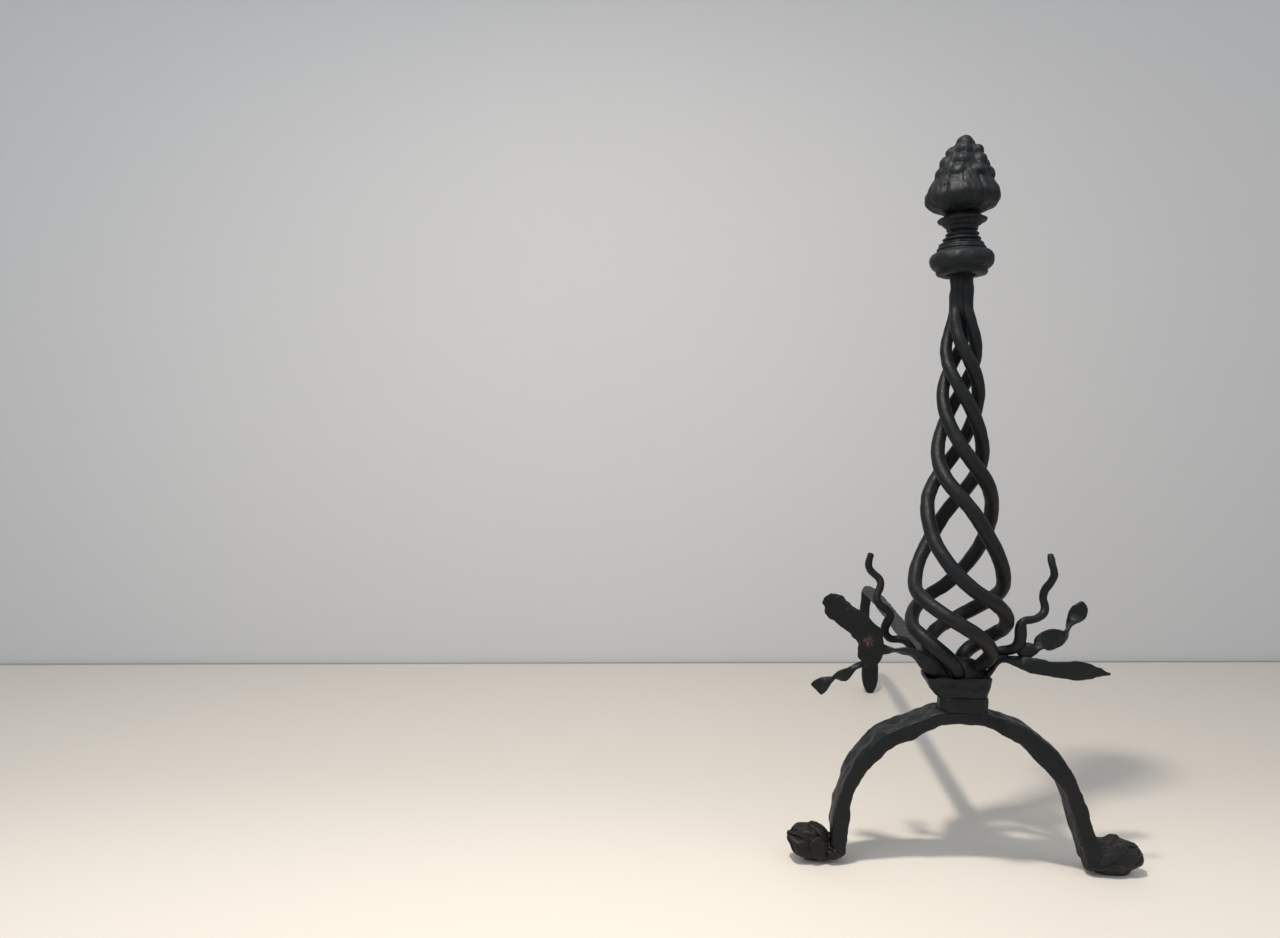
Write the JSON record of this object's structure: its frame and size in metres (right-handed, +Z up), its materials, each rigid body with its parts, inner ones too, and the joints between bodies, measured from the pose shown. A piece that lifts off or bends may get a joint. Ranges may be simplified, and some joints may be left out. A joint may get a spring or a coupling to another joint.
{
  "type": "andiron",
  "caption": "Wrought-iron andiron: arched front on rolled-leaf feet, open twisted cage post with bud finial and leaf sprays, and a billet bar running back to a rear leg.",
  "frame": {"origin": "middle of the andiron's box on the floor plane, z = 0 under the feet", "axes": "+X across the hearth to the andiron's right as seen from the room, +Y from the front arch back into the fire, +Z up"},
  "size_m": [0.2888, 0.5872, 0.5997],
  "materials": {
    "bar_iron": "blackened, hammered, satin",
    "rod_iron": "blackened, drawn and hammered, satin with rubbed crests",
    "leaf_iron": "blackened, hammered thin, satin with rust-brown spots",
    "cast_iron": "blackened casting, slightly rough"
  },
  "bodies": {
    "root": {"arch_bar": "bar_iron", "foot_left": "leaf_iron", "foot_right": "leaf_iron", "billet_bar": "bar_iron", "cage_heel": "bar_iron", "collar": "bar_iron", "cage_rod_1": "rod_iron", "cage_rod_2": "rod_iron", "cage_rod_3": "rod_iron", "cage_rod_4": "rod_iron", "finial_stud": "cast_iron", "finial_base": "cast_iron", "finial_cone": "cast_iron", "stem_left": "leaf_iron", "broad_leaf_left": "leaf_iron", "twisted_leaf_left": "leaf_iron", "tendril_left": "leaf_iron", "packing_strip": "leaf_iron", "long_leaf_right": "leaf_iron", "twisted_leaf_right": "leaf_iron", "tendril_right": "leaf_iron"}
  },
  "joints": []
}
